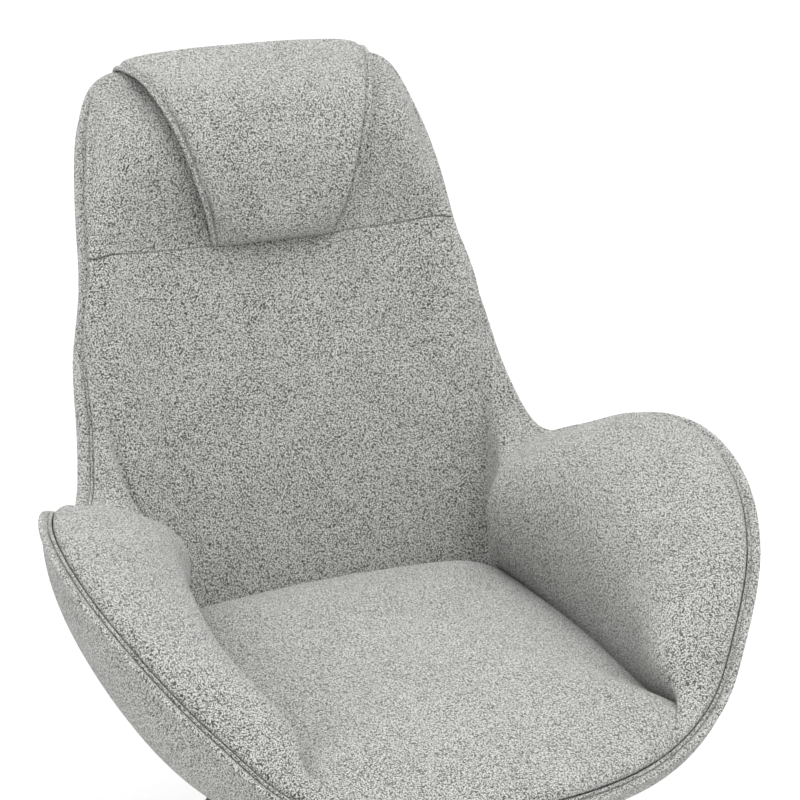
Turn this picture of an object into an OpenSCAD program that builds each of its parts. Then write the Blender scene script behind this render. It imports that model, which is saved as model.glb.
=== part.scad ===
// Rocking lounge chair: upholstered high-back bucket shell on a steel frame with two wooden runners.
// Millimetres, +Z up, the chair faces -Y, X is the mirror direction.
// Origin: on the floor, under the middle of the overall box.

/* [Back] */
// height of the rim seam at the top of the back
back_h = 1024; // [1005:1:1045]
// width of the back measured across its rim at the cross seam
back_w = 464; // [440:1:490]
// how far the top of the back lies behind the seat middle
back_reach = 482; // [470:1:500]
// height of the seam that crosses the back below the head pillow
cross_seam_h = 830; // [810:1:850]
// how far the cross seam dips in the middle
seam_sag = 12; // [0:1:30]

/* [Arms] */
// overall width across the arm rims
arm_span = 766; // [740:1:800]
// highest point of the arm rim
arm_h = 645; // [625:1:660]
// lowest point of the rim between back and arm
notch_h = 588; // [570:1:605]

/* [Seat] */
// height of the crease round the seat pad
seat_crease_h = 418; // [410:1:430]
// how far the middle of the seat pad rises above the crease
seat_crown = 58; // [30:1:65]
// width of the seat between the arm pads at the crease
seat_w = 476; // [460:1:490]
// how far the front edge lies ahead of the seat middle
seat_reach = 337; // [325:1:350]

/* [Layers] */
// thickness of the outer cover with its thin foam
cover_t = 4; // [3:0.5:4.5]
// thickness of the moulded shell
shell_t = 6; // [5:0.5:6.5]
// extra crown of the arm pads
arm_crown = 66; // [45:1:70]
// extra crown of the arm pads where they meet the back
rear_crown = 13; // [0:1:16]
// extra crown of the back pad
back_crown = 14; // [6:1:20]
// extra crown of the upper back under the head pillow
head_crown = 38; // [20:1:45]
// thickness of the padded lip outside the rim seam
lip_t = 17; // [15:0.5:18]
// how much thinner the lip is along the arms and the front
lip_thin = 8; // [3:0.5:9]
// how far the lip stands out past the rim seam
lip_h = 8; // [5:0.5:9]
// diameter of the welt sewn into the rim seam
welt_d = 4; // [3.6:0.2:4.2]

/* [Head pillow] */
// thickness of the pillow in its middle
pillow_t = 32; // [24:1:36]
// thickness of the pillow at its sides
pillow_edge_t = 12; // [8:1:16]
// width of the pillow at the rim
pillow_top_w = 285; // [270:1:300]
// width of the pillow at the cross seam
pillow_low_w = 163; // [150:1:180]

/* [Base] */
// radius of the floor side of the runners
rocker_r = 1000; // [900:10:1200]
// place of the runner's lowest point along the chair
rocker_y = 94.7; // [70:0.1:110]
// how far the runners reach ahead of their lowest point
rocker_front = 430; // [400:5:450]
// how far the runners reach behind their lowest point
rocker_rear = 317; // [300:1:330]
// height of the runner section
rocker_h = 34; // [30:1:38]
// width of the runner section
rocker_w = 26; // [24:1:30]
// distance between the runner middles
rocker_span = 480; // [470:2:500]
// outside diameter of the leg tubes
leg_d = 20; // [18:1:22]
// diameter of the wooden stretchers
stretcher_d = 22; // [20:1:25]

/* [Hidden] */
$fn = 64;
clear = 0.3;
half_back = back_w / 2;
half_arm = arm_span / 2;
half_seat = seat_w / 2;
base_h = 345;
seat_y = -75.4;
last = 17;
fine = 3;
crease_t = cover_t + shell_t + 2 * clear;
back_step = 80;
rim_in = 6;
back_end = 7.95;
arm_end = 15.667;
board_low = base_h + 1;
board_top = board_low + 14;
bar_t = 6;
bar_w = 40;
bar_top = base_h - 1.8;
bar_front_y = -120;
bar_rear_y = 110;
bar_half = 150;
bolt_x = 95;
bolt_d = 8;
bolt_head_d = 14;
bolt_hole_d = 9;
washer_d = 17;
nut_flange_d = 22;
nut_tube_d = 10.8;
leg_top_x = 134;
leg_wall = 2;
leg_front_y = -190;
leg_rear_y = 215;
stretcher_front_y = leg_front_y - 70;
stretcher_rear_y = leg_rear_y + 40;
plate_t = 4;
plate_half = 2.2;
screw_step = 27;
screw_d = 4.4;
runner_x = rocker_span / 2;
runner_in = rocker_r - rocker_h;
plate_r = runner_in - 0.2 - plate_t;
front_turn = asin(rocker_front / rocker_r);
rear_turn = asin(rocker_rear / rocker_r);

// ---- the two leading curves, right half, from the top of the back to the front middle ----
rim_line = [
  [0, back_reach, back_h],
  [0.38 * half_back, back_reach - 3, back_h - 1],
  [0.745 * half_back, back_reach - 10, back_h - 9],
  [0.895 * half_back, back_reach - 34, back_h - 54],
  [0.98 * half_back, back_reach - 76, back_h - 129],
  [half_back + 7, back_reach - 114, cross_seam_h - 22],
  [half_back + 26, back_reach - 144, cross_seam_h - 104],
  [half_back + 37, back_reach - 190, notch_h + 58],
  [half_back + 57, 238, notch_h],
  [0.845 * half_arm, 182, lerp1(notch_h, arm_h, 0.3)],
  [0.945 * half_arm, 106, lerp1(notch_h, arm_h, 0.9)],
  [half_arm, 20, arm_h],
  [0.985 * half_arm, -72, arm_h - 24],
  [0.905 * half_arm, -152, arm_h - 70],
  [0.775 * half_arm, -214, arm_h - 134],
  [0.615 * half_arm, -seat_reach + 72, 454],
  [0.36 * half_arm, -seat_reach + 30, 426],
  [0, -seat_reach, 430]
];

crease_line = [
  [0, 238, seat_crease_h + 14],
  [0.26 * half_seat, 237, seat_crease_h + 13],
  [0.48 * half_seat, 235, seat_crease_h + 11],
  [0.65 * half_seat, 233, seat_crease_h + 9],
  [0.76 * half_seat, 230, seat_crease_h + 7],
  [0.83 * half_seat, 226, seat_crease_h + 5],
  [0.88 * half_seat, 221, seat_crease_h + 3],
  [0.92 * half_seat, 213, seat_crease_h + 2],
  [0.95 * half_seat, 200, seat_crease_h + 1],
  [0.97 * half_seat, 172, seat_crease_h],
  [0.985 * half_seat, 125, seat_crease_h],
  [half_seat, 60, seat_crease_h],
  [half_seat, -15, seat_crease_h],
  [0.985 * half_seat, -90, seat_crease_h],
  [0.965 * half_seat, -160, seat_crease_h + 1],
  [0.945 * half_seat, -232, seat_crease_h + 8],
  [0.57 * half_seat, -seat_reach + 44, seat_crease_h + 4],
  [0, -seat_reach + 14, seat_crease_h + 10]
];

// moves what is drawn about the seat middle to the origin under the overall box
module placed() {
  translate([0, seat_y, 0]) children();
}

// ---- helpers ----
function lerp1(a, b, t) = a + (b - a) * t;
function unit(v) = v / norm(v);
function flip(p) = [-p[0], p[1], p[2]];
function smooth(t) = let (c = max(0, min(1, t))) c * c * (3 - 2 * c);
function knot(line, i) =
  i < 0 ? flip(line[-i]) : i > last ? flip(line[2 * last - i]) : line[i];
function curve(line, s) =
  let (i = min(floor(s), last - 1), f = s - i)
  let (a = knot(line, i - 1), b = knot(line, i), c = knot(line, i + 1), d = knot(line, i + 2))
  0.5 * (2 * b + (c - a) * f + (2 * a - 5 * b + 4 * c - d) * f * f + (3 * b - a - 3 * c + d) * f * f * f);

// everything that depends only on the place along the rim
function station(s) =
  let (seam = curve(rim_line, s), crease = curve(crease_line, s))
  let (ahead = min(s + 0.05, last), behind = max(s - 0.05, 0))
  let (along = curve(rim_line, ahead) - curve(rim_line, behind))
  let (run = along + curve(crease_line, ahead) - curve(crease_line, behind))
  let (n = unit(cross(unit(run), unit(seam - crease))), edge = unit(cross(n, along)))
  let (r = seam - edge * rim_in, far = r - crease, up = unit(far))
  let (c = r - up * lerp1(norm(far), 3, smooth(s - 15)))
  let (out = unit([c[0], c[1] + 40, 0]), f = smooth((s - 13) / 3.4))
  let (knuckle = c + out * lerp1(62, -6, f) + [0, 0, lerp1(-28, -34, f)])
  let (foot = [c[0], c[1], base_h] - out * lerp1(34, 84, f))
  let (h = cross_seam_h - seam_sag * (1 - pow(min(s / 4.75, 1), 2)) - 5 * smooth((s - 3.9) / 0.9))
  let (v0 = r[2] < h ? 1.2 : (h - c[2]) / (r[2] - c[2]))
  [c, r, up, n, knuckle, foot, s, edge, v0];

// sitter's side of the wall
function inside(st, v) =
  let (s = st[6], a = smooth((s - 6.4) / 2.1) * (1 - smooth((s - 13.8) / 2.2)))
  let (b = 1 - smooth((s - 4) / 4), h = 1 - smooth((s - 2.2) / 2.5), v0 = st[8])
  let (u = max(0, min(1, (v - v0) / max(1 - v0, 0.02))))
  let (low = 8 * (1 - pow(abs(2 * v - 1), 5)) + 8 * v + 11 * v * v * v)
  let (rear = rear_crown * exp(-pow((s - 9.2) / 1.3, 2)) * sqrt(max(0, sin(180 * min(v, 1)))))
  let (arm = arm_crown * a * (1 - 0.2 * smooth((s - 11) / 2)) * sin(180 * v) + rear)
  let (back = back_crown * b * sin(180 * v) + head_crown * h * sin(180 * pow(u, 1.25)))
  lerp1(st[0], st[1], v) + st[3] * (low + arm + back);

// outer side of the wall, from the foot ring (v = 0) to the rim (v = 1)
function outside(st, v) =
  let (p0 = st[5], p1 = st[4], p3 = st[1] - st[3] * (11 - 3 * smooth((st[6] - 13) / 1.5)))
  let (swell = 24 + 18 * smooth((st[6] - 7.5) / 2) - 36 * smooth((st[6] - 12.6) / 2))
  let (p2 = lerp1(st[1], st[4], 0.36) - st[3] * swell, w = 1 - v)
  w * w * w * p0 + 3 * w * w * v * p1 + 3 * w * v * v * p2 + v * v * v * p3;

// a point in the wall: v is the height, t the depth from the outer side, past how far beyond the rim
function wall(st, v, t, past = 0) =
  let (o = outside(st, v), i = inside(st, v))
  o + unit(i - o) * t + st[7] * past;
function seam_t(st) = lip_t - lip_thin * smooth((st[6] - 7.5) / 2.5);
function lip_rise(st) = lip_h + 3 * smooth((st[6] - 9) / 1.5) * (1 - smooth((st[6] - 14.5) / 1.5));
function depth(st, v) = norm(inside(st, v) - outside(st, v));
function side(q, p) = q < 0 ? flip(p) : p;
function ring(a, b, n) = [for (i = [0:n]) lerp1(a, b, i / n)];

// closed solid between two equally sized grids of points
module slab(a, b, loop) {
  n = len(a);
  m = len(a[0]);
  total = n * m;
  rows = loop ? n - 1 : n - 2;
  faces = [
    for (i = [0:rows]) for (j = [0:m - 2]) let (k = (i + 1) % n) each [
      [i * m + j, k * m + j + 1, k * m + j],
      [i * m + j, i * m + j + 1, k * m + j + 1],
      [total + i * m + j, total + k * m + j, total + k * m + j + 1],
      [total + i * m + j, total + k * m + j + 1, total + i * m + j + 1]
    ],
    for (i = [0:rows]) let (k = (i + 1) % n) each [
      [i * m, k * m, total + k * m],
      [i * m, total + k * m, total + i * m],
      [i * m + m - 1, total + k * m + m - 1, k * m + m - 1],
      [i * m + m - 1, total + i * m + m - 1, total + k * m + m - 1]
    ],
    if (!loop) for (j = [0:m - 2]) each [
      [j, total + j, total + j + 1],
      [j, total + j + 1, j + 1],
      [(n - 1) * m + j, total + (n - 1) * m + j + 1, total + (n - 1) * m + j],
      [(n - 1) * m + j, (n - 1) * m + j + 1, total + (n - 1) * m + j + 1]
    ]
  ];
  polyhedron(concat([for (r = a) each r], [for (r = b) each r]), faces, convexity = 8);
}

// stations round the whole rim, and a part of it
around = [for (i = [0:2 * last * fine - 1]) -last + i / fine];
around_coarse = [for (i = [0:4 * last - 1]) -last + i / 2];
function span(a, b) = let (n = max(2, round((b - a) * fine))) ring(a, b, n);

// ---- soft shell ----
module outer_cover() {
  rows = ring(0, 1, 8);
  over = [0.1, 0.3, 0.55, 0.8, 0.97];
  a = [for (q = around) let (st = station(abs(q)), wide = seam_t(st)) concat(
    [for (v = rows) side(q, wall(st, v, 0))],
    [for (k = over) side(q, wall(st, 1, k * wide, lip_rise(st) * sqrt(4 * k * (1 - k))))])];
  b = [for (q = around) let (st = station(abs(q)), wide = seam_t(st)) concat(
    [for (v = ring(0, 0.972, 8)) side(q, wall(st, v, cover_t))],
    [for (k = over) side(q, wall(st, 0.978, lerp1(cover_t + 0.2, wide, k)))])];
  color("#a9a9a3")
  slab(b, a, true);
}

module shell() {
  rows = ring(0, 0.955, 7);
  a = [for (q = around_coarse) let (st = station(abs(q)))
    [for (v = rows) side(q, wall(st, v, cover_t + clear))]];
  b = [for (q = around_coarse) let (st = station(abs(q)))
    [for (v = rows) side(q, wall(st, v, cover_t + clear + shell_t))]];
  color("#c9a877")
  slab(b, a, true);
}

// a foam pad in its cover: low and high are its ends up the wall
module pad(qs, n, upper = false, lower = false) {
  function low(st) = upper ? st[8] + 0.0012 : 0;
  function high(st) = lower ? min(0.965, st[8] - 0.0012) : 0.965;
  function open(st) = lower && st[8] < 0.965;
  function turn(st, k) = wall(st, high(st), lerp1(crease_t, depth(st, high(st)), k));
  a = [for (q = qs) let (st = station(abs(q)), full = depth(st, 1)) concat(
    [for (v = ring(low(st), high(st), n)) side(q, wall(st, v, depth(st, v)))],
    open(st)
      ? [for (k = [0.7, 0.4]) side(q, turn(st, k))]
      : [side(q, wall(st, 1, full - 0.8, 2)), side(q, wall(st, 1, full - 3, 2.8))])];
  b = [for (q = qs) let (st = station(abs(q)), wide = seam_t(st)) concat(
    [for (v = ring(low(st), min(high(st), 0.955), n)) side(q, wall(st, v, crease_t + clear))],
    open(st)
      ? [for (k = [0.1, 0.2]) side(q, turn(st, k))]
      : [side(q, wall(st, 0.966, wide + 4.6)), side(q, wall(st, 1, wide + 4.8, 0.6))])];
  color("#b4b4ae")
  slab(a, b, false);
}

module back_pad_upper() {
  pad(span(-4.6, 4.6), 5, upper = true);
}

module back_pad_lower() {
  pad(span(-back_end, back_end), 8, lower = true);
}

module arm_pad(s) {
  scale([s, 1, 1])
  pad(span(back_end + 0.012, arm_end), 8);
}

// the upper edge of the seat pad follows the crease, then the front rim
function seat_edge(q) =
  let (st = station(abs(q)), f = smooth(abs(q) - 14.55))
  let (c = st[0] - unit([st[0][0], st[0][1] + 40, 0]) * 1.2)
  side(q, lerp1(c, wall(st, 1, seam_t(st) + 5), f));
function seat_low(q) =
  let (st = station(abs(q)), f = (board_top + 2.5 - base_h) / (st[0][2] - base_h))
  side(q, lerp1(st[5], st[0], f) - unit([st[0][0], st[0][1] + 40, 0]) * 1.2);

module seat_pad() {
  mid = [0, -30, seat_crease_h + seat_crown];
  low = [0, -30, board_top + 2.5];
  rho = [1, 0.97, 0.92, 0.84, 0.72, 0.56, 0.36, 0.15];
  n = len(around);
  m = len(rho);
  function top(q, r) =
    let (e = seat_edge(q), p = lerp1(4.8, 3, smooth((abs(q) - 3) / 8)))
    [e[0] * r, lerp1(mid[1], e[1], r), lerp1(mid[2], e[2], pow(r, p))];
  function under(q, r) =
    let (e = seat_low(q))
    [e[0] * r, lerp1(low[1], e[1], r), e[2]];
  points = concat(
    [for (q = around) each concat([for (r = rho) top(q, r)], [under(q, 1), under(q, 0.5)])],
    [mid, low]);
  w = m + 2;
  faces = [for (i = [0:n - 1]) let (k = (i + 1) % n) each concat(
    [for (j = [0:m - 2]) each [
      [i * w + j, k * w + j, k * w + j + 1],
      [i * w + j, k * w + j + 1, i * w + j + 1]]],
    [[i * w + m - 1, k * w + m - 1, n * w]],
    [[i * w, i * w + m, k * w + m], [i * w, k * w + m, k * w]],
    [[i * w + m, i * w + m + 1, k * w + m + 1], [i * w + m, k * w + m + 1, k * w + m]],
    [[i * w + m + 1, n * w + 1, k * w + m + 1]])];
  color("#bdbdb6")
  polyhedron(points, faces, convexity = 4);
}

// welt lying in the groove of the rim seam
module rim_welt() {
  r = welt_d / 2;
  a = [for (q = around) let (st = station(abs(q)))
    [for (k = [0:4]) side(q, wall(st, 1, seam_t(st) + 2.2 - r * cos(k * 45), 0.4 + r * sin(k * 45)))]];
  b = [for (q = around) let (st = station(abs(q)))
    [for (k = [0:4]) side(q, wall(st, 1, seam_t(st) + 2.2 - r * cos(k * 45), 0.3 - r * sin(k * 45)))]];
  color("#9c9c96")
  slab(b, a, true);
}

// flap filled with fibre: sewn into the cross seam, up over the rim and a little way down behind
module head_pillow() {
  across = ring(-1, 1, 16);
  ups = ring(0, 1, 9);
  path = [6, 12, 18, 24, 50, 90];
  function reach(u) = lerp1(pillow_low_w, pillow_top_w, u) / 2 / back_step;
  function fat(w) = pow(1 - pow(abs(w), 4), 0.5);
  function front(w, u, k) =
    let (st = station(abs(w) * reach(u)))
    let (v = lerp1(st[8] + 0.004, 0.97, u), full = smooth(u / 0.3) * (1 - 0.5 * smooth((u - 0.6) / 0.4)))
    let (th = lerp1(pillow_edge_t, pillow_t, fat(w)) * lerp1(0.35, 1, full))
    side(w, wall(st, v, depth(st, v) + clear + k * th));
  function over(w, d, k) =
    let (st = station(abs(w) * reach(1)), f = smooth(d / 24))
    let (th = k * lerp1(5, 8, fat(w)) * (1 - 0.4 * f), bow = sin(180 * min(1, d / 24)))
    let (t = lerp1(depth(st, 1) - 1, -clear, f) - th * (2 * f - 1))
    side(w, wall(st, 1 - max(0, d - 8) / 520, t, (lip_h + 0.5 + th) * bow + (d < 12 ? 2 : 0)));
  function skin(k) = [for (w = across) concat(
    [for (u = ups) front(w, u, k)],
    [for (d = path) over(w, d, k)])];
  color("#b0b0aa")
  slab(skin(1), skin(0), false);
}

// ---- board that closes the shell and carries the base ----
module outline(grow) {
  polygon([for (q = around) let (f = side(q, station(abs(q))[5])) [f[0], f[1]] * (1 + grow)]);
}

module seat_board() {
  color("#c2a276")
  difference() {
    translate([0, 0, board_low])
    linear_extrude(board_top - board_low)
    outline(0.002);
    bolt_places() translate([0, 0, board_low - 1]) cylinder(d = nut_tube_d + 0.4, h = 20);
  }
}

module bottom_cloth() {
  color("#2a2a2a")
  difference() {
    translate([0, 0, base_h - 1.4])
    linear_extrude(1.2)
    outline(0.004);
    bolt_places() translate([0, 0, base_h - 2]) cylinder(d = 10, h = 3);
  }
}

// ---- steel frame ----
module bolt_places() {
  for (x = [-bolt_x, bolt_x]) for (y = [bar_front_y, bar_rear_y]) translate([x, y, 0]) children();
}

module cross_bar(y) {
  color("#232323")
  difference() {
    translate([-bar_half, y - bar_w / 2, bar_top - bar_t]) cube([2 * bar_half, bar_w, bar_t]);
    bolt_places() translate([0, 0, bar_top - bar_t - 1]) cylinder(d = bolt_hole_d, h = bar_t + 2);
  }
}

module tee_nuts() {
  color("#9a9c9e")
  bolt_places() difference() {
    union() {
      translate([0, 0, board_top + 0.1]) cylinder(d = nut_flange_d, h = 1.6);
      translate([0, 0, board_top - 10]) cylinder(d = nut_tube_d, h = 10.2);
    }
    translate([0, 0, board_top - 11]) cylinder(d = bolt_d + 0.4, h = 14);
  }
}

module frame_washers() {
  color("#8f9193")
  bolt_places() difference() {
    translate([0, 0, bar_top - bar_t - 1.8]) cylinder(d = washer_d, h = 1.6);
    translate([0, 0, bar_top - bar_t - 3]) cylinder(d = bolt_d + 0.6, h = 4);
  }
}

module frame_bolts() {
  low = bar_top - bar_t - 2;
  color("#3a3b3d")
  bolt_places() difference() {
    union() {
      translate([0, 0, low - 5]) cylinder(d = bolt_head_d, h = 5);
      translate([0, 0, low - 1]) cylinder(d = bolt_d, h = board_top - low);
    }
    translate([0, 0, low - 6]) cylinder(d = 5.8, h = 4, $fn = 6);
  }
}

// height of the runner's upper side at a place along the chair
function runner_top(y) = rocker_r - sqrt(pow(rocker_r - rocker_h, 2) - pow(y - rocker_y, 2));
function runner_tilt(y) = asin((y - rocker_y) / (rocker_r - rocker_h));

// sets children on the runner's upper side, square to it
module on_runner(x, y) {
  translate([x, y, runner_top(y)])
  rotate([runner_tilt(y), 0, 0])
  children();
}

// bent bar round the same centre as the runners
module arc_bar(x, r_in, r_out, middle, half) {
  translate([x - rocker_w / 2, rocker_y, rocker_r])
  rotate([90, 0, 90])
  rotate([0, 0, middle - half - 90])
  rotate_extrude(angle = 2 * half, $fn = 180)
  translate([r_in, 0])
  square([r_out - r_in, rocker_w]);
}

module screw_places(x, y) {
  for (k = [-1, 1]) on_runner(x, y + k * screw_step) children();
}

module foot_plate(x, y) {
  color("#232323")
  difference() {
    arc_bar(x, plate_r, runner_in - 0.2, runner_tilt(y), plate_half);
    screw_places(x, y) {
      translate([0, 0, -1]) cylinder(d = 5, h = 8);
    }
    screw_places(x, y) {
      translate([0, 0, plate_t - 1.7]) cylinder(d1 = 5, d2 = 9.6, h = 2.4);
    }
  }
}

module plate_screws() {
  color("#3a3b3d")
  for (x = [-runner_x, runner_x]) for (y = [leg_front_y, leg_rear_y])
  screw_places(x, y) difference() {
    union() {
      translate([0, 0, plate_t - 1.5]) cylinder(d1 = screw_d, d2 = 8.6, h = 1.9);
      translate([0, 0, -20]) cylinder(d = screw_d, h = plate_t + 19);
      translate([0, 0, -24]) cylinder(d1 = 0.6, d2 = screw_d, h = 4);
    }
    translate([0, 0, plate_t - 0.8]) cylinder(d = 3, h = 2, $fn = 6);
  }
}

// a straight leg tube from under the end of a cross bar to its foot plate
module leg(x, y_top, y_low) {
  top = [sign(x) * leg_top_x, y_top, bar_top - bar_t];
  low = [x, y_low, runner_top(y_low)];
  way = low - top;
  long = norm(way);
  tilt = acos(way[2] / long);
  turn = atan2(way[1], way[0]);
  color("#232323")
  intersection() {
    translate(top)
    rotate([0, tilt, turn])
    translate([0, 0, -30])
    difference() {
      cylinder(d = leg_d, h = long + 60);
      translate([0, 0, -1]) cylinder(d = leg_d - 2 * leg_wall, h = long + 62);
    }
    translate([-400, -600, 0]) cube([800, 1200, bar_top - bar_t - 0.2]);
    translate([-400, rocker_y, rocker_r]) rotate([0, 90, 0]) cylinder(r = plate_r - 0.2, h = 800, $fn = 360);
  }
}

// ---- wooden runners and stretchers ----
module rocker(x) {
  color("#c8a06a")
  difference() {
    arc_bar(x, runner_in, rocker_r, (rear_turn - front_turn) / 2, (rear_turn + front_turn) / 2);
    for (y = [leg_front_y, leg_rear_y]) screw_places(x, y)
      translate([0, 0, -25]) cylinder(d = screw_d + 0.4, h = 30);
    stretcher_places() translate([x - sign(x) * rocker_w, 0, 0]) rotate([0, sign(x) * 90, 0])
      cylinder(d = stretcher_d + 0.6, h = rocker_w + 4);
  }
}

module stretcher_places() {
  for (y = [stretcher_front_y, stretcher_rear_y])
  translate([0, y, runner_top(y) - rocker_h / 2 - 0.5])
  children();
}

module stretcher(y) {
  h = runner_top(y) - rocker_h / 2 - 0.5;
  long = rocker_span - rocker_w + 16;
  color("#c8a06a")
  translate([-long / 2, y, h])
  rotate([0, 90, 0])
  cylinder(d = stretcher_d, h = long);
}

placed() outer_cover();
placed() shell();
placed() rim_welt();
placed() back_pad_lower();
placed() back_pad_upper();
placed() arm_pad(-1);  // arm_pad_left
placed() arm_pad(1);  // arm_pad_right
placed() seat_pad();
placed() head_pillow();
placed() seat_board();
placed() bottom_cloth();
placed() cross_bar(bar_front_y);  // cross_bar_front
placed() cross_bar(bar_rear_y);  // cross_bar_rear
placed() leg(-runner_x, bar_front_y, leg_front_y);  // leg_front_left
placed() leg(runner_x, bar_front_y, leg_front_y);  // leg_front_right
placed() leg(-runner_x, bar_rear_y, leg_rear_y);  // leg_rear_left
placed() leg(runner_x, bar_rear_y, leg_rear_y);  // leg_rear_right
placed() foot_plate(-runner_x, leg_front_y);  // foot_plate_front_left
placed() foot_plate(runner_x, leg_front_y);  // foot_plate_front_right
placed() foot_plate(-runner_x, leg_rear_y);  // foot_plate_rear_left
placed() foot_plate(runner_x, leg_rear_y);  // foot_plate_rear_right
placed() rocker(-runner_x);  // rocker_left
placed() rocker(runner_x);  // rocker_right
placed() stretcher(stretcher_front_y);  // stretcher_front
placed() stretcher(stretcher_rear_y);  // stretcher_rear
placed() tee_nuts();
placed() frame_washers();
placed() frame_bolts();
placed() plate_screws();
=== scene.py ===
import math

import bmesh
import bpy
import numpy as np
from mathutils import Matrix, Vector


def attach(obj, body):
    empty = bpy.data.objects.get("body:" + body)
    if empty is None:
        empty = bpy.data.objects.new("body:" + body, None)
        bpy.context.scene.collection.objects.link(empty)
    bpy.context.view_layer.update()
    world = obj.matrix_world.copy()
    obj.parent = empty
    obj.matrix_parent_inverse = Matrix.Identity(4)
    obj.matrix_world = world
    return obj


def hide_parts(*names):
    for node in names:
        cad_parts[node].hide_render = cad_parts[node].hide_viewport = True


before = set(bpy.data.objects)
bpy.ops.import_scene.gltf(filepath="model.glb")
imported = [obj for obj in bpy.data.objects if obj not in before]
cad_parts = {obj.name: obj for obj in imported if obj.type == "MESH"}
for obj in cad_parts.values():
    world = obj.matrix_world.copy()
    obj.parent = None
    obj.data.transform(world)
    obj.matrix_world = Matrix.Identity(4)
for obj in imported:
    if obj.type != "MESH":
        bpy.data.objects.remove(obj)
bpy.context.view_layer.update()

# ---------------------------------------------------------------- driving dimensions, in millimetres
MM = 0.001
# the back: height, width and how far its top stands behind the frame's origin
BACK_H, BACK_W, BACK_REACH = 1024.0, 464.0, 482.0
# height of the cross seam at its ends, and how much lower its middle hangs
CROSS_SEAM_H, SEAM_SAG = 830.0, 12.0
# width over both arms, top of the arms, and the lowest point between arm and back
ARM_SPAN, ARM_H, NOTCH_H = 766.0, 645.0, 588.0
# the crease round the seat, the seat's crown above it, its width, and its front edge
SEAT_CREASE_H, SEAT_CROWN, SEAT_W, SEAT_REACH = 418.0, 58.0, 476.0, 337.0
# how far the padding swells: arms, rear corners, back, and the back under the pillow
ARM_CROWN, REAR_CROWN, BACK_CROWN, HEAD_CROWN = 66.0, 13.0, 14.0, 38.0
# cloth with its thin lining on the outside, and the depth at which the inner padding starts
COVER_T, CREASE_T = 4.0, 10.6
# padded lip past the rim seam: thickness, height, and how much thinner and higher on the arms
LIP_T, LIP_H, LIP_THIN, LIP_MORE = 17.0, 8.0, 8.0, 3.0
# the rim seam lies this far inside the shell's leading curve
RIM_IN = 6.0
# welt in the rim seam: radius, height of its middle past the rim on the back, how much more on the arms
WELT_R, WELT_UP, WELT_UP_ARM = 2.0, 0.9, 1.0
# the groove that the welt lies in: width, and depth below the rim
GROOVE_W, GROOVE = 4.4, 1.4
# how far the padding's rolled edge stands past the rim
ROLL_H = 3.8
# underside of the shell, and the place of the shell's own origin along Y
BASE_H, SEAT_Y = 345.0, -75.4
# outer side, each round the back and arms and then at the front: how far its knuckle stands out
# from the crease and hangs below it, and how far its foot ring lies inside the crease
KNUCKLE_OUT, KNUCKLE_DROP, FOOT_IN = (62, -6), (-28, -34), (34, 84)
# number of the last station along the rim, at the middle of the front
LAST = 17
# height that is left of the padded wall at the middle of the front
FRONT_RISE = 3
# stations of the side seam of the cover, of the creases in the lower rear corners,
# of the cross seam's ends, and of the ends of the upper back and of the inner lining
SIDE_SEAM, CORNER, CROSS_END, UPPER_END, LINING_END = 8.25, 7.9, 4.75, 4.78, 15.93
# radius of the padding's edge that turns into the cross seam, and of the seat's upper edge
SEAM_R, SEAT_EDGE_R = 2.4, 11.0
# underside of the seat pad, and the number of its grid squares from the middle to an edge
SEAT_LOW, SEAT_GRID = 384.0, 76
# head pillow: width at the cross seam and at the rim, thickness of its middle and of its flange
PILLOW_LOW_W, PILLOW_TOP_W, PILLOW_T, FLANGE_T = 163.0, 285.0, 30.0, 6.0
# the pillow's stitched flange: width, and depth of the stitch line beside it
FLANGE_W, STITCH = 8.0, 3.4
# how far the pillow's sides stand off the back, and how far down behind the back its end reaches
PILLOW_HOVER, PILLOW_DOWN = 17.0, 0.17
# mean distance between stations across the back
BACK_STEP = 80.0
# thickness of the cloth under the board
CLOTH_T = 0.6

HALF_BACK, HALF_ARM, HALF_SEAT = BACK_W / 2, ARM_SPAN / 2, SEAT_W / 2
SEAT_MID = np.array([0.0, -30.0, SEAT_CREASE_H + SEAT_CROWN])
FLIP = np.array([-1.0, 1.0, 1.0])


def lerp(a, b, t):
    return a + (b - a) * t


# the two leading curves of the shell, right half, from the top of the back to the front middle
RIM_LINE = np.array([
    [0, BACK_REACH, BACK_H],
    [0.38 * HALF_BACK, BACK_REACH - 3, BACK_H - 1],
    [0.745 * HALF_BACK, BACK_REACH - 10, BACK_H - 9],
    [0.895 * HALF_BACK, BACK_REACH - 34, BACK_H - 54],
    [0.98 * HALF_BACK, BACK_REACH - 76, BACK_H - 129],
    [HALF_BACK + 7, BACK_REACH - 114, CROSS_SEAM_H - 22],
    [HALF_BACK + 26, BACK_REACH - 144, CROSS_SEAM_H - 104],
    [HALF_BACK + 37, BACK_REACH - 190, NOTCH_H + 58],
    [HALF_BACK + 57, 238, NOTCH_H],
    [0.845 * HALF_ARM, 182, lerp(NOTCH_H, ARM_H, 0.3)],
    [0.945 * HALF_ARM, 106, lerp(NOTCH_H, ARM_H, 0.9)],
    [HALF_ARM, 20, ARM_H],
    [0.985 * HALF_ARM, -72, ARM_H - 24],
    [0.905 * HALF_ARM, -152, ARM_H - 70],
    [0.775 * HALF_ARM, -214, ARM_H - 134],
    [0.615 * HALF_ARM, -SEAT_REACH + 72, 454],
    [0.36 * HALF_ARM, -SEAT_REACH + 30, 426],
    [0, -SEAT_REACH, 430]])
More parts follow.
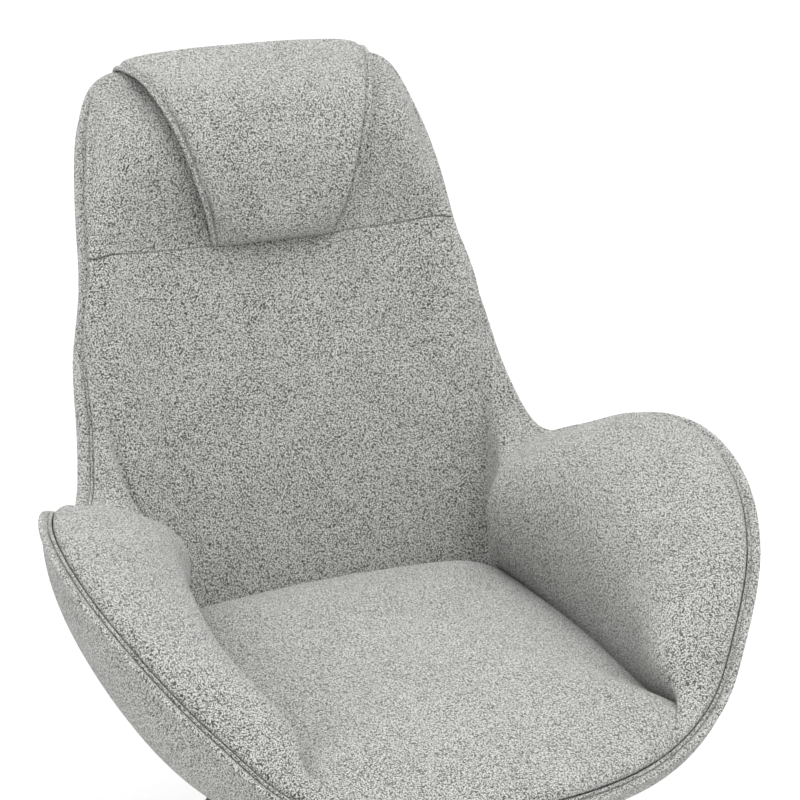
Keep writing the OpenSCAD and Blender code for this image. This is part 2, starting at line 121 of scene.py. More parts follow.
CREASE_LINE = np.array([
    [0, 238, SEAT_CREASE_H + 14],
    [0.26 * HALF_SEAT, 237, SEAT_CREASE_H + 13],
    [0.48 * HALF_SEAT, 235, SEAT_CREASE_H + 11],
    [0.65 * HALF_SEAT, 233, SEAT_CREASE_H + 9],
    [0.76 * HALF_SEAT, 230, SEAT_CREASE_H + 7],
    [0.83 * HALF_SEAT, 226, SEAT_CREASE_H + 5],
    [0.88 * HALF_SEAT, 221, SEAT_CREASE_H + 3],
    [0.92 * HALF_SEAT, 213, SEAT_CREASE_H + 2],
    [0.95 * HALF_SEAT, 200, SEAT_CREASE_H + 1],
    [0.97 * HALF_SEAT, 172, SEAT_CREASE_H],
    [0.985 * HALF_SEAT, 125, SEAT_CREASE_H],
    [HALF_SEAT, 60, SEAT_CREASE_H],
    [HALF_SEAT, -15, SEAT_CREASE_H],
    [0.985 * HALF_SEAT, -90, SEAT_CREASE_H],
    [0.965 * HALF_SEAT, -160, SEAT_CREASE_H + 1],
    [0.945 * HALF_SEAT, -232, SEAT_CREASE_H + 8],
    [0.57 * HALF_SEAT, -SEAT_REACH + 44, SEAT_CREASE_H + 4],
    [0, -SEAT_REACH + 14, SEAT_CREASE_H + 10]])


# ---------------------------------------------------------------- shape functions, in millimetres
def smooth(t):
    t = np.clip(t, 0, 1)
    return t * t * (3 - 2 * t)


def unit(v):
    return v / np.linalg.norm(v, axis=-1, keepdims=True)


def bow(t):
    """Quarter of a circle: steep at 0, level at 1 and beyond."""
    return np.sqrt(1 - (1 - np.clip(t, 0, 1)) ** 2)


def curve(line, s):
    """Smooth curve through the mirrored half line, at station s from 0 to LAST."""
    ends = np.concatenate([line[1:2] * FLIP, line, line[-2:-1] * FLIP])
    i = np.clip(np.floor(s).astype(int), 0, LAST - 1)
    f = (s - i)[..., None]
    a, b, c, d = ends[i], ends[i + 1], ends[i + 2], ends[i + 3]
    bend = (2 * a - 5 * b + 4 * c - d) * f * f + (3 * b - a - 3 * c + d) * f ** 3
    return 0.5 * (2 * b + (c - a) * f + bend)


class Wall:
    """The padded wall at places q along the rim: 0 is the top of the back, +-LAST the front middle.

    A term such as smooth((s - 13) / 3.4) starts at station 13 and is complete 3.4 stations further on.
    """

    def __init__(self, q):
        q = np.asarray(q, float)
        self.mirror = np.where(q < 0, -1.0, 1.0)
        s = self.s = np.abs(q)
        # n points to the sitter's side and edge out past the rim, both square to the rim
        crease = curve(CREASE_LINE, s)
        ahead, behind = np.minimum(s + 0.05, LAST), np.maximum(s - 0.05, 0)
        along = curve(RIM_LINE, ahead) - curve(RIM_LINE, behind)
        run = along + curve(CREASE_LINE, ahead) - curve(CREASE_LINE, behind)
        self.n = unit(np.cross(unit(run), unit(curve(RIM_LINE, s) - crease)))
        self.edge = unit(np.cross(self.n, along))
        # rim r, crease c, and the way up from one to the other; the wall sinks into the seat at the front
        r = curve(RIM_LINE, s) - self.edge * RIM_IN
        far = r - crease
        self.rise = lerp(np.linalg.norm(far, axis=-1), FRONT_RISE, smooth(s - 15))
        c = r - unit(far) * self.rise[:, None]
        up = unit(far)
        out = unit((c + [0, 40, 0]) * [1, 1, 0])
        self.c, self.r, self.up, self.out = c, r, up, out
        f = smooth((s - 13) / 3.4)[:, None]
        self.knuckle = c + out * lerp(*KNUCKLE_OUT, f) + lerp(*KNUCKLE_DROP, f) * np.array([0, 0, 1.0])
        self.foot = c * [1, 1, 0] + [0, 0, BASE_H] - out * lerp(*FOOT_IN, f)
        self.lip = LIP_H + LIP_MORE * smooth((s - 9) / 1.5) * (1 - smooth((s - 14.5) / 1.5))
        self.lip_t = (LIP_T - LIP_THIN * smooth((s - 7.5) / 2.5))[:, None]
        # v0 is how far up the wall the cross seam runs; above 1 there is none
        h = CROSS_SEAM_H - SEAM_SAG * (1 - np.minimum(s / CROSS_END, 1) ** 2)
        h = h - 5 * smooth((s - 3.9) / 0.9)
        self.v0 = np.where(r[:, 2] < h, 1.2, (h - c[:, 2]) / (r[:, 2] - c[:, 2]))

    def inside(self, v):
        """Sitter's side of the wall; v is (stations, rows)."""
        s, v0 = self.s[:, None], self.v0[:, None]
        # where along the rim each swelling is, and u, the height above the cross seam
        arm = smooth((s - 6.4) / 2.1) * (1 - smooth((s - 13.8) / 2.2)) * (1 - 0.2 * smooth((s - 11) / 2))
        back = 1 - smooth((s - 4) / 4)
        head = 1 - smooth((s - 2.2) / 2.5)
        u = np.clip((v - v0) / np.maximum(1 - v0, 0.02), 0, 1)
        bulge = np.exp(-((s - 9.2) / 1.3) ** 2)
        # the even padding, rounded at both ends and thicker towards the rim, and then the swellings
        lift = 8 * (1 - np.abs(2 * v - 1) ** 5) + 8 * v + 11 * v ** 3
        lift = lift + (ARM_CROWN * arm + BACK_CROWN * back) * np.sin(np.pi * v)
        lift = lift + HEAD_CROWN * head * np.sin(np.pi * u ** 1.25)
        lift = lift + REAR_CROWN * bulge * np.sqrt(np.sin(np.pi * np.clip(v, 0, 1)))
        flat = lerp(self.c[:, None], self.r[:, None], v[..., None])
        return flat + self.n[:, None] * lift[..., None]

    def outside(self, v):
        """Outer side, a cubic curve from the foot ring (v = 0) past the knuckle to the rim (v = 1)."""
        s = self.s
        swell = 24 + 18 * smooth((s - 7.5) / 2) - 36 * smooth((s - 12.6) / 2)
        p3 = self.r - self.n * (11 - 3 * smooth((s - 13) / 1.5))[:, None]
        p2 = lerp(self.r, self.knuckle, 0.36) - self.n * swell[:, None]
        p0, p1, p2, p3 = [p[:, None] for p in (self.foot, self.knuckle, p2, p3)]
        v = v[..., None]
        w = 1 - v
        return w ** 3 * p0 + 3 * w * w * v * p1 + 3 * w * v * v * p2 + v ** 3 * p3

    def depth(self, v):
        """Thickness of the wall at height v."""
        return np.linalg.norm(self.inside(v) - self.outside(v), axis=-1)

    def at(self, v, t, lift, over=0.0):
        """Point at height v, depth t from the outer side, moved up by lift and past the rim by over."""
        v, t, lift, over = (a[..., None] for a in np.broadcast_arrays(v, t, lift, over))
        o = self.outside(v[..., 0])
        across = unit(self.inside(v[..., 0]) - o)
        return o + across * t + self.up[:, None] * lift + self.edge[:, None] * over

    def place(self, p):
        """Millimetres on the right half to metres in the chair's frame."""
        p = p.copy()
        p[..., 0] *= self.mirror[:, None]
        p[..., 1] += SEAT_Y
        return p * MM


# ---------------------------------------------------------------- mesh helpers
def add_mesh(name, verts, faces):
    """Object with smooth faces whose normals point outwards."""
    mesh = bpy.data.meshes.new(name)
    mesh.from_pydata([tuple(v) for v in verts], [], [tuple(f) for f in faces])
    obj = bpy.data.objects.new(name, mesh)
    bpy.context.scene.collection.objects.link(obj)
    bm = bmesh.new()
    bm.from_mesh(mesh)
    bmesh.ops.recalc_face_normals(bm, faces=bm.faces)
    bm.to_mesh(mesh)
    bm.free()
    mesh.polygons.foreach_set("use_smooth", [True] * len(mesh.polygons))
    return obj


def quads(n, k, loop_n, loop_k):
    """Faces of an n by k grid of points, closed along n, along k or neither."""
    rows, columns = np.arange(n if loop_n else n - 1), np.arange(k if loop_k else k - 1)
    i, j = np.meshgrid(rows, columns, indexing="ij")
    i2, j2 = (i + 1) % n, (j + 1) % k
    return np.stack([i * k + j, i * k + j2, i2 * k + j2, i2 * k + j], -1).reshape(-1, 4).tolist()


def loft(name, rings, ring_loop=False):
    """Closed solid through rings of points; each ring is a closed section."""
    n, k = rings.shape[:2]
    faces = quads(n, k, ring_loop, True)
    if not ring_loop:
        faces += [list(range(k))[::-1], [(n - 1) * k + j for j in range(k)]]
    return add_mesh(name, rings.reshape(-1, 3), faces)


def stations(low, high, per_unit, extra=()):
    """Places along the rim, evenly spaced, with the extra ones put in order among them."""
    q = np.linspace(low, high, int(round((high - low) * per_unit)) + 1)
    return np.unique(np.round(np.concatenate([q, list(extra)]), 5)) if len(extra) else q


def near(*seams):
    """Extra stations close to seams that run up the wall, on both halves."""
    steps = np.array([0.0, 0.8, 1.6, 2.6, 4.0, 6.0]) / BACK_STEP
    return [half * q0 + sign * d for q0 in seams for half in (1, -1) for sign in (-1, 1) for d in steps]


def pinch(distance, width, deep, puff=0.25):
    """A sewn channel: a narrow valley with the cloth puffed up on both sides."""
    valley = np.exp(-(distance / width) ** 2)
    swell = np.exp(-((np.abs(distance) - 2.6 * width) / (1.5 * width)) ** 2)
    return deep * (valley - puff * swell)


# ---------------------------------------------------------------- edges that turn into the seams
# angles round a rolled edge
ROLL = np.linspace(0, np.pi, 9)


def rim_roll(wall):
    """Depth of the padding rolling over into the welt groove, and how far it stands past the rim."""
    full = wall.depth(np.ones((len(wall.s), 1)))
    radius = (full - wall.lip_t - GROOVE_W) / 2
    sink = GROOVE * np.clip(2 * ROLL / np.pi - 1, 0, 1) ** 2
    lift = (ROLL_H * np.sin(ROLL) - sink) * np.ones_like(full)
    return full - 2 * radius + radius * (1 + np.cos(ROLL)), lift


def seam_roll(full):
    """Depth of a panel's edge turning into the cross seam, and how far the edge hangs below the seam."""
    turn = np.minimum(ROLL, np.pi / 2)
    sink = np.clip((ROLL - np.pi / 2) / (np.pi / 2), 0, 1) * 10
    lift = SEAM_R * (np.sin(turn) - 1) * np.ones_like(full)
    return full - SEAM_R * (1 - np.cos(turn)) - sink, lift


# ---------------------------------------------------------------- upholstery
def make_outer_cover():
    """Outer side with a sewn seam down each rear side, rolled over the shell's edge into the lip."""
    q = stations(-LAST, LAST, 18, near(SIDE_SEAM))[:-1]
    wall = Wall(q)
    n = len(q)
    # front is the side that shows, roll the lip's top, and back the side that lies on the shell
    v = np.tile(np.linspace(0, 1, 72), (n, 1))
    seam = pinch((wall.s[:, None] - SIDE_SEAM) * BACK_STEP, 2.4, 2.2)
    sunk = seam * smooth((1 - v) / 0.03) * smooth(v / 0.02)
    front = wall.at(v, sunk, 0.0)
    phi = np.linspace(0, np.pi, 20)[1:]
    over = (wall.lip[:, None] + GROOVE) * np.sin(phi) ** 0.8 - GROOVE * smooth(phi / 2)
    roll = wall.at(np.ones((n, 1)), wall.lip_t / 2 * (1 - np.cos(phi)), 0.0, over)
    low_v = np.concatenate([[0.99, 0.978, 0.962], np.linspace(0.94, 0, 20)])
    low_t = np.full((n, len(low_v)), COVER_T)
    low_t[:, :1] = wall.lip_t - 1
    low_t[:, 1:2] = wall.lip_t / 2
    low_t[:, 2] = COVER_T + 0.6
    back = wall.at(np.tile(low_v, (n, 1)), low_t, 0.0)
    return loft("outer_cover_boucle", wall.place(np.concatenate([front, roll, back], 1)), ring_loop=True)


def make_inner_lining():
    """Lower back and both arms: one sewn lining with a crease in each lower corner."""
    q = stations(-LINING_END, LINING_END, 19, near(CORNER, CROSS_END))
    wall = Wall(q)
    n = len(q)
    high = np.minimum(wall.v0, 1)[:, None]
    # rim is 0 where the lining ends at the cross seam and 1 where it ends at the rim
    rim = smooth((wall.s - CROSS_END + 0.13) / 0.2)[:, None]
    gap = lerp(0.4, 0, rim) / wall.rise[:, None]
    edge = lerp(SEAM_R, 0, rim) / wall.rise[:, None]
    top = high - gap
    v = np.linspace(0, 1, 76)[None] * (top - edge)
    front = wall.inside(v)
    spread = (wall.s[:, None] - CORNER) * (15 + 70 * v)
    crease = pinch(spread, 4.5, 5.0, 0.15) * (1 - smooth((v - 0.12) / 0.3))
    front = front - wall.n[:, None] * crease[..., None]
    full = wall.depth(np.broadcast_to(top, (n, 1)))
    t_rim, lift_rim = rim_roll(wall)
    t_seam, lift_seam = seam_roll(full)
    t = lerp(t_seam, t_rim, rim)[:, 1:]
    turned = wall.at(top, t, (lift_seam * (1 - rim))[:, 1:], (lift_rim * rim)[:, 1:])
    back_v = np.linspace(1, 0, 18)[None] * (top - 0.03)
    back = wall.at(back_v, CREASE_T + 0.5, 0.0)
    tail = np.array([[-18.0, -9.0, -4.0]])
    foot = np.zeros((n, 1))
    start = wall.at(foot, wall.depth(foot) + np.array([[-6.0, -2.0, -0.6]]), tail)
    return loft("inner_lining_boucle", wall.place(np.concatenate([start, front, turned, back], 1)))


def make_upper_back():
    """The panel from the cross seam to the rim, most of it under the pillow."""
    q = stations(-UPPER_END, UPPER_END, 22)
    wall = Wall(q)
    n = len(q)
    low = np.minimum(wall.v0, 0.996)[:, None] + 0.4 / wall.rise[:, None]
    edge = np.minimum(SEAM_R / wall.rise[:, None], (1 - low) * 0.4)
    v = lerp(low + edge, 1.0, np.linspace(0, 1, 46)[None])
    front = wall.inside(v)
    t_seam, _ = seam_roll(wall.depth(low))
    start = wall.at(low, t_seam, 0.0)[:, ::-1]
    t_rim, lift_rim = rim_roll(wall)
    turned = wall.at(np.ones((n, 8)), t_rim[:, 1:], 0.0, lift_rim[:, 1:])
    back = wall.at(lerp(0.97, low, np.linspace(0, 1, 10)[None]), CREASE_T + 0.5, 0.0)
    return loft("upper_back_boucle", wall.place(np.concatenate([start, front, turned, back], 1)))


def make_welt():
    """Cord that lies in the groove between the lip and the inner padding, all round the rim."""
    q = stations(-LAST, LAST, 20)[:-1]
    wall = Wall(q)
    around = np.linspace(0, 2 * np.pi, 13)[:-1]
    t = wall.lip_t + GROOVE_W / 2 - WELT_R * np.cos(around)
    proud = WELT_UP + WELT_UP_ARM * smooth((wall.s - 8) / 2)[:, None]
    rings = wall.at(np.ones((len(q), 1)), t, 0.0, proud + WELT_R * np.sin(around))
    return loft("rim_welt_boucle", wall.place(rings), ring_loop=True)


def square_grid(count):
    """Ring and place along the ring, both 0 to 1, of each point of a square grid, and its points a side."""
    a, b = np.meshgrid(np.arange(-count, count + 1), np.arange(-count, count + 1), indexing="ij")
    ring = np.maximum(np.abs(a), np.abs(b))
    safe = np.maximum(ring, 1)
    sides = [b == -ring, a == ring, b == ring]
    along = np.select(sides, [ring + a, 3 * ring + b, 5 * ring - a], 7 * ring - b)
    place = along / (8 * safe)
    n = 2 * count + 1
    return ring.ravel() / count, place.ravel(), n


def seat_edge(wall):
    """Upper edge of the seat, and how far it has left the crease for the rim (0 to 1)."""
    front = smooth(wall.s - 14.55)[:, None]
    crease = wall.c - wall.out * 1.2 + [0, 0, 4.0]
    rim = wall.inside(np.ones((len(wall.s), 1)))[:, 0]
    return lerp(crease, rim, front), front


def make_seat():
    """Crowned pad on a square grid bent to the crease, with side rows that turn down under the edge."""
    rho, place, n = square_grid(SEAT_GRID)
    q = (place + 0.5) % 1 * 2 * LAST - LAST
    wall = Wall(q)
    edge, front = seat_edge(wall)
    power = lerp(4.8, 3, smooth((wall.s - 3) / 8))
    level = SEAT_MID + (edge - SEAT_MID) * rho[:, None]
    level[:, 2] = lerp(SEAT_MID[2], edge[:, 2], rho ** power)
    inset = np.linalg.norm((edge - SEAT_MID)[:, :2], axis=-1) * (1 - rho)
    level[:, 2] -= (1 - front[:, 0]) * SEAT_EDGE_R * (1 - bow(inset / SEAT_EDGE_R)) * 0.999
    top = wall.place(level[:, None])[:, 0]
    # the perimeter, in order, carries the side rows
    order = np.argsort(np.where(rho > 0.9999, place, 9))[:8 * SEAT_GRID]
    ring = Wall(q[order])
    edge, front = seat_edge(ring)
    drops = np.array([3.0, 8.0, 15.0, 24.0])
    side = edge[:, None] - [0, 0, 1] * (SEAT_EDGE_R + drops)[None, :, None]
    side = side - ring.out[:, None] * np.array([0.0, 0.4, 1.2, 2.4])[None, :, None]
    t_rim, lift_rim = rim_roll(ring)
    pick = [2, 4, 6, 8]
    rolled = ring.at(np.ones((len(order), 4)), t_rim[:, pick], 0.0, lift_rim[:, pick])
    rows = ring.place(lerp(side, rolled, front[:, :, None]))
    low = (edge - SEAT_MID) * 0.93 + SEAT_MID
    low[:, 2] = SEAT_LOW
    rows = np.concatenate([rows, ring.place(low[:, None])], 1)
    m, k = rows.shape[:2]
    base = len(top)
    verts = np.concatenate([top, rows.reshape(-1, 3)])
    faces = quads(n, n, False, False)
    for i in range(m):
        j = (i + 1) % m
        faces.append([order[i], order[j], base + j * k, base + i * k])
    faces += [[base + corner for corner in face] for face in quads(m, k, True, False)]
    faces.append([base + i * k + k - 1 for i in range(m)])
    return add_mesh("seat_pad_boucle", verts, faces)


def pillow_rows(across):
    """Rows of points under the pillow: up the back from the cross seam, over the lip and down behind.

    Also gives each row's half width and the number of rows on the front.
    """
    ups = np.linspace(0, 1, 54)
    turns = np.linspace(0, 1, 12)[1:]
    downs = np.linspace(0, 1, 16)[1:]
    widening = np.concatenate([ups, np.ones(len(turns) + len(downs))])
    width = lerp(PILLOW_LOW_W, PILLOW_TOP_W, widening) / 2
    rim = np.ones((len(across), 1))
    rows = []
    for i, half in enumerate(width):
        wall = Wall(across * half / BACK_STEP)
        if i < len(ups):
            p = wall.inside(lerp(wall.v0 - 0.002, 1.0, ups[i])[:, None])
        elif i < len(ups) + len(turns):
            x = turns[i - len(ups)]
            over = (LIP_H - 0.6) * math.sqrt(max(0, 1 - (2 * x - 1) ** 2))
            p = wall.at(rim, wall.depth(rim) * (1 - x), 0.0, over)
        else:
            x = downs[i - len(ups) - len(turns)]
            p = wall.at(rim * (1 - x * PILLOW_DOWN), 0.0, 0.0)
        rows.append(wall.place(p)[:, 0])
    rows = np.array(rows) / MM
    # the filling bridges the sharp turns
    for _ in range(14):
        rows[1:-1] = lerp(rows[1:-1], (rows[:-2] + rows[2:]) / 2, 0.5)
    return rows, width, len(ups)


def make_pillow():
    """Filled flap with a stitched flange down both sides."""
    across = lerp(np.sin(np.linspace(-np.pi / 2, np.pi / 2, 81)), np.linspace(-1, 1, 81), 0.45)
    base, width, fronts = pillow_rows(across)
    normal = unit(np.cross(np.gradient(base, axis=1), np.gradient(base, axis=0)))
    # path is the way from the cross seam, inset the distance from the nearer side
    steps = np.linalg.norm(np.diff(base[:, len(across) // 2], axis=0), axis=-1)
    path = np.concatenate([[0], np.cumsum(steps)])[:, None]
    inset = np.minimum(1 - np.abs(across), 1)[None] * width[:, None]
    front_end = path[fronts - 1]
    thinning = 1 - 0.75 * smooth((path - front_end + 80) / 90)
    fullness = bow(path / 34) * thinning * 0.86 + 0.14
    thick = FLANGE_T + (PILLOW_T - FLANGE_T) * bow((inset - FLANGE_W) / 48) * fullness
    thick = thick - STITCH * np.exp(-((inset - FLANGE_W) / 1.5) ** 2)
    hover = PILLOW_HOVER * (1 - smooth(inset / 40)) * smooth(path / 50)
    hover = hover * (1 - smooth((path - front_end + 40) / 60))
    half_t = thick / 2 * lerp(0.08, 1, bow(inset / 3)) * lerp(0.1, 1, bow((path[-1] - path) / 4))
    middle = 0.8 + hover + thick / 2
    outer = base + normal * (middle + half_t)[..., None]
    inner = base + normal * (middle - half_t)[..., None]
    rings = np.concatenate([outer, inner[:, ::-1]], 1)
    return loft("head_pillow_boucle", rings * MM)


def make_bottom_cloth():
    """Thin cloth stapled under the board, a little slack between the staples along its edge."""
    wall = Wall(stations(-LAST, LAST, 10)[:-1])
    n = len(wall.s)
    rho = np.linspace(1.0, 0.06, 16)
    middle = np.array([0.0, -10.0, 0.0])
    outline = wall.foot * [1, 1, 0] * 1.002
    flat = middle + (outline - middle)[:, None] * rho[:, None]
    pucker = 0.35 * np.cos(wall.s * 12)[:, None] * np.exp(-((rho - 0.93) / 0.05) ** 2)
    flat[..., 2] = BASE_H - 0.45 - 0.35 * (1 - rho ** 2) + pucker * (1 - smooth((rho - 0.97) / 0.03))
    top = wall.place(flat)
    low = top - [0, 0, CLOTH_T * MM]
    k = len(rho)
    middles = [top[:, -1].mean(0), low[:, -1].mean(0)]
    verts = np.concatenate([top.reshape(-1, 3), low.reshape(-1, 3), middles])
    upper = quads(n, k, True, False)
    faces = upper + [[i + n * k for i in face] for face in upper]
    for i in range(n):
        j = (i + 1) % n
        faces.append([i * k, j * k, n * k + j * k, n * k + i * k])
        faces.append([i * k + k - 1, j * k + k - 1, 2 * n * k])
        faces.append([n * k + i * k + k - 1, n * k + j * k + k - 1, 2 * n * k + 1])
    return add_mesh("bottom_cloth_spunbond", verts, faces), outline


# ---------------------------------------------------------------- materials
def new_material(name):
    mat = bpy.data.materials.new(name)
    mat.use_nodes = True
    nodes, links = mat.node_tree.nodes, mat.node_tree.links
    return mat, nodes, links, nodes["Principled BSDF"]


def object_coords(nodes):
    return nodes.new("ShaderNodeTexCoord").outputs["Object"]


def texture(nodes, links, kind, coords, **sockets):
    node = nodes.new(kind)
    links.new(coords, node.inputs["Vector"])
    for key, value in sockets.items():
        node.inputs[key.replace("_", " ")].default_value = value
    return node


def ramp(nodes, links, value, stops):
    node = nodes.new("ShaderNodeValToRGB")
    links.new(value, node.inputs["Fac"])
    while len(node.color_ramp.elements) < len(stops):
        node.color_ramp.elements.new(0.5)
    for element, (place, colour) in zip(node.color_ramp.elements, stops):
        element.position = place
        element.color = (*colour, 1)
    return node.outputs["Color"]


def add_bump(nodes, links, shader, height, strength, distance):
    bump = nodes.new("ShaderNodeBump")
    bump.inputs["Strength"].default_value = strength
    bump.inputs["Distance"].default_value = distance
    links.new(height, bump.inputs["Height"])
    links.new(bump.outputs["Normal"], shader.inputs["Normal"])


def add_up(nodes, links, first, factor, second):
    """First output times a factor, plus the second output."""
    node = nodes.new("ShaderNodeMath")
    node.operation = "MULTIPLY_ADD"
    links.new(first, node.inputs[0])
    node.inputs[1].default_value = factor
    links.new(second, node.inputs[2])
    return node.outputs[0]


def boucle_material(name, light, dark, size=0.0017):
    """Looped yarn: round loops set in bent cells, loose fibre on top, and painted shade in the dark flecks
    between them.
    """
    mat, nodes, links, shader = new_material(name)
    coords = object_coords(nodes)
    curl = texture(nodes, links, "ShaderNodeTexNoise", coords, Scale=0.55 / size, Detail=2.0)
    bend = nodes.new("ShaderNodeVectorMath")
    bend.operation = "MULTIPLY_ADD"
    links.new(curl.outputs["Color"], bend.inputs[0])
    bend.inputs[1].default_value = (size * 0.9,) * 3
    links.new(coords, bend.inputs[2])
    loops = texture(nodes, links, "ShaderNodeTexVoronoi", bend.outputs[0], Scale=1 / size)
    fibre = texture(nodes, links, "ShaderNodeTexNoise", bend.outputs[0], Scale=1.6 / size, Detail=3.0)
    patch = texture(nodes, links, "ShaderNodeTexNoise", coords, Scale=14.0, Detail=2.0)
    tone = add_up(nodes, links, loops.outputs["Distance"], -0.45, fibre.outputs["Fac"])
    shade = add_up(nodes, links, patch.outputs["Fac"], 0.05, tone)
    middle = tuple((a + b) / 2 for a, b in zip(light, dark))
    # the dark stop is painted shade for the gaps between the loops; the light stop is the yarn's own colour
    colour = ramp(nodes, links, shade, [(0.215, dark), (0.28, middle), (0.345, light)])
    links.new(colour, shader.inputs["Base Color"])
    add_bump(nodes, links, shader, tone, 1.0, 0.004)
    shader.inputs["Roughness"].default_value = 0.95
    shader.inputs["Specular IOR Level"].default_value = 0.2
    shader.inputs["Sheen Weight"].default_value = 0.6
    shader.inputs["Sheen Roughness"].default_value = 0.4
    return mat


def speckled_material(name, colour, rough, grain, metallic=1.0):
    """Even surface with a fine speckle in its colour and bump: metal, paint or spunbond cloth."""
    mat, nodes, links, shader = new_material(name)
    speck = texture(nodes, links, "ShaderNodeTexNoise", object_coords(nodes), Scale=grain, Detail=2.0)
    shader.inputs["Metallic"].default_value = metallic
    darker = tuple(c * 0.8 for c in colour)
    tint = ramp(nodes, links, speck.outputs["Fac"], [(0.35, darker), (0.65, colour)])
    links.new(tint, shader.inputs["Base Color"])
    shader.inputs["Roughness"].default_value = rough
    add_bump(nodes, links, shader, speck.outputs["Fac"], 0.25, 0.0002)
    return mat


def wood_material(name, light, dark, stretch, rings=16.0, rough=0.45):
    """Grain drawn out along the axis with the smallest stretch."""
    mat, nodes, links, shader = new_material(name)
    mapping = nodes.new("ShaderNodeMapping")
    mapping.inputs["Scale"].default_value = stretch
    links.new(object_coords(nodes), mapping.inputs["Vector"])
    along = mapping.outputs[0]
    grain = texture(nodes, links, "ShaderNodeTexNoise", along, Scale=rings, Detail=5.0, Distortion=0.6)
    pores = texture(nodes, links, "ShaderNodeTexNoise", along, Scale=rings * 9, Detail=2.0)
    mixed = add_up(nodes, links, pores.outputs["Fac"], 0.3, grain.outputs["Fac"])
    tint = ramp(nodes, links, mixed, [(0.45, dark), (0.62, light), (0.8, dark)])
    links.new(tint, shader.inputs["Base Color"])
    shader.inputs["Roughness"].default_value = rough
    add_bump(nodes, links, shader, pores.outputs["Fac"], 0.2, 0.0003)
    return mat


# the dark colour is painted shade for the gaps between the loops, not a dark yarn
YARN_LIGHT, LOOP_GAP_SHADE = (0.93, 0.935, 0.89), (0.035, 0.035, 0.033)
ASH_LIGHT, ASH_DARK = (0.62, 0.42, 0.24), (0.45, 0.28, 0.14)
BOUCLE = boucle_material("boucle_light_grey", YARN_LIGHT, LOOP_GAP_SHADE)
WELT = boucle_material("boucle_welt", YARN_LIGHT, LOOP_GAP_SHADE, 0.0016)
BLACK_STEEL = speckled_material("black_powder_coat", (0.012, 0.012, 0.012), 0.48, 900.0, 0.0)
ZINC = speckled_material("zinc_plate", (0.55, 0.55, 0.54), 0.38, 500.0)
BOLT = speckled_material("black_oxide", (0.03, 0.03, 0.032), 0.42, 600.0)
SPUNBOND = speckled_material("black_spunbond", (0.02, 0.02, 0.021), 0.9, 1400.0, 0.0)
ASH = wood_material("oiled_ash", ASH_LIGHT, ASH_DARK, (14.0, 1.2, 14.0))
ASH_CROSS = wood_material("oiled_ash_cross", ASH_LIGHT, ASH_DARK, (1.2, 14.0, 14.0))
PLY = wood_material("raw_plywood", (0.62, 0.46, 0.28), (0.5, 0.35, 0.2), (2.0, 10.0, 60.0), rough=0.7)


# ---------------------------------------------------------------- pieces
def dress(obj, mat):
    obj.data.materials.clear()
    obj.data.materials.append(mat)


def upholster(obj, nodes, mat=BOUCLE):
    dress(obj, mat)
    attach(obj, "root")
    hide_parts(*nodes)


def hang_bottom_cloth():
    cloth, outline = make_bottom_cloth()
    dress(cloth, SPUNBOND)
    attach(cloth, "root")
    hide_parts("bottom_cloth")


upholster(make_outer_cover(), ["outer_cover"])
upholster(make_inner_lining(), ["back_pad_lower", "arm_pad_left", "arm_pad_right"])
upholster(make_upper_back(), ["back_pad_upper"])
upholster(make_seat(), ["seat_pad"])
upholster(make_pillow(), ["head_pillow"])
upholster(make_welt(), ["rim_welt"], WELT)
hang_bottom_cloth()


def finish_cad(names, mat, bevel):
    """Material and, unless it is 0, a bevel in metres for pieces that CAD made."""
    for name in names:
        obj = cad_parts[name]
        dress(obj, mat)
        obj.data.polygons.foreach_set("use_smooth", [True] * len(obj.data.polygons))
        weld = obj.modifiers.new("weld", "WELD")
        weld.merge_threshold = 0.00001
        if bevel:
            round_edge = obj.modifiers.new("edges", "BEVEL")
            round_edge.width = bevel
            round_edge.segments = 2
            round_edge.limit_method = "ANGLE"
            round_edge.angle_limit = math.radians(40)
            round_edge.harden_normals = True


def cad_nodes(*starts):
    return [n for n in sorted(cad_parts) if n.startswith(starts)]


finish_cad(cad_nodes("cross_bar", "foot_plate"), BLACK_STEEL, 0.0006)
finish_cad(cad_nodes("leg"), BLACK_STEEL, 0.0002)
finish_cad(cad_nodes("rocker"), ASH, 0.002)
finish_cad(cad_nodes("stretcher"), ASH_CROSS, 0.001)
finish_cad(["tee_nuts", "frame_washers"], ZINC, 0.0002)
finish_cad(["frame_bolts", "plate_screws"], BOLT, 0.0003)
finish_cad(["shell"], PLY, 0)
finish_cad(["seat_board"], PLY, 0.0005)


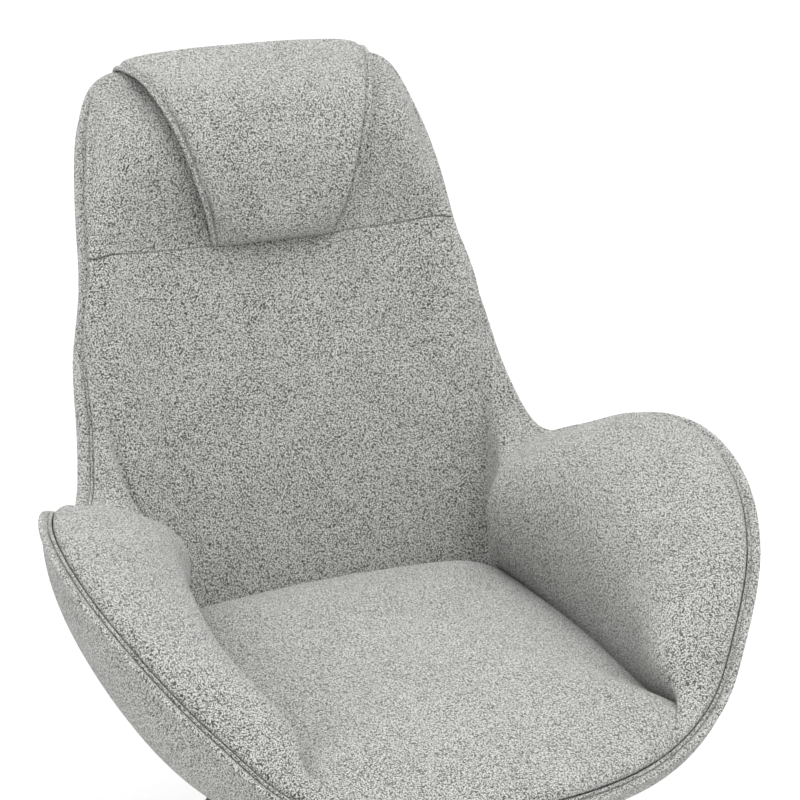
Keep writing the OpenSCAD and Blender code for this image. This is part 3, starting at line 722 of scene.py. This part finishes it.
# ---------------------------------------------------------------- stage, light and camera
def make_floor():
    size = 40.0
    corners = [(-size, -size, 0), (size, -size, 0), (size, size, 0), (-size, size, 0)]
    floor = add_mesh("floor", corners, [[0, 1, 2, 3]])
    floor.location.z = -0.0005
    mat, nodes, links, shader = new_material("pale_floor")
    shader.inputs["Base Color"].default_value = (0.85, 0.85, 0.85, 1)
    shader.inputs["Roughness"].default_value = 0.9
    floor.data.materials.append(mat)


def area_light(name, place, target, size, watts):
    data = bpy.data.lights.new(name, "AREA")
    data.shape = "RECTANGLE"
    data.size, data.size_y = size
    data.energy = watts
    lamp = bpy.data.objects.new(name, data)
    bpy.context.scene.collection.objects.link(lamp)
    lamp.location = place
    lamp.rotation_euler = (Vector(target) - Vector(place)).to_track_quat("-Z", "Y").to_euler()


def make_world(low, high):
    """White studio air that shines with strength low at the horizon and below, and high overhead."""
    world = bpy.data.worlds.new("studio")
    bpy.context.scene.world = world
    world.use_nodes = True
    nodes, links = world.node_tree.nodes, world.node_tree.links
    nodes["Background"].inputs["Color"].default_value = (1, 1, 1, 1)
    way = nodes.new("ShaderNodeSeparateXYZ")
    links.new(nodes.new("ShaderNodeTexCoord").outputs["Generated"], way.inputs[0])
    height = nodes.new("ShaderNodeMapRange")
    height.inputs["To Min"].default_value = low
    height.inputs["To Max"].default_value = high
    links.new(way.outputs["Z"], height.inputs["Value"])
    links.new(height.outputs[0], nodes["Background"].inputs["Strength"])


def make_camera(azimuth, elevation, target, distance, lens):
    """Camera looking at the target, azimuth 0 along +Y; angles in degrees, lens in millimetres."""
    turn, tilt = math.radians(azimuth), math.radians(elevation)
    level = math.cos(tilt)
    look = Vector((math.sin(turn) * level, math.cos(turn) * level, -math.sin(tilt)))
    data = bpy.data.cameras.new("camera")
    data.lens = lens
    data.sensor_width = 36.0
    camera = bpy.data.objects.new("camera", data)
    bpy.context.scene.collection.objects.link(camera)
    camera.location = Vector(target) - look * distance
    camera.rotation_euler = look.to_track_quat("-Z", "Y").to_euler()
    bpy.context.scene.camera = camera


make_floor()
area_light("top_softbox", (0.3, -0.7, 3.6), (0, 0, 0.5), (2.6, 2.6), 25)
make_world(0.5, 1.75)
make_camera(24.4, 20.0, (-0.0047, SEAT_Y * MM, 0.7467), 2.3418, 99.68)
bpy.context.scene.view_settings.view_transform = "Standard"
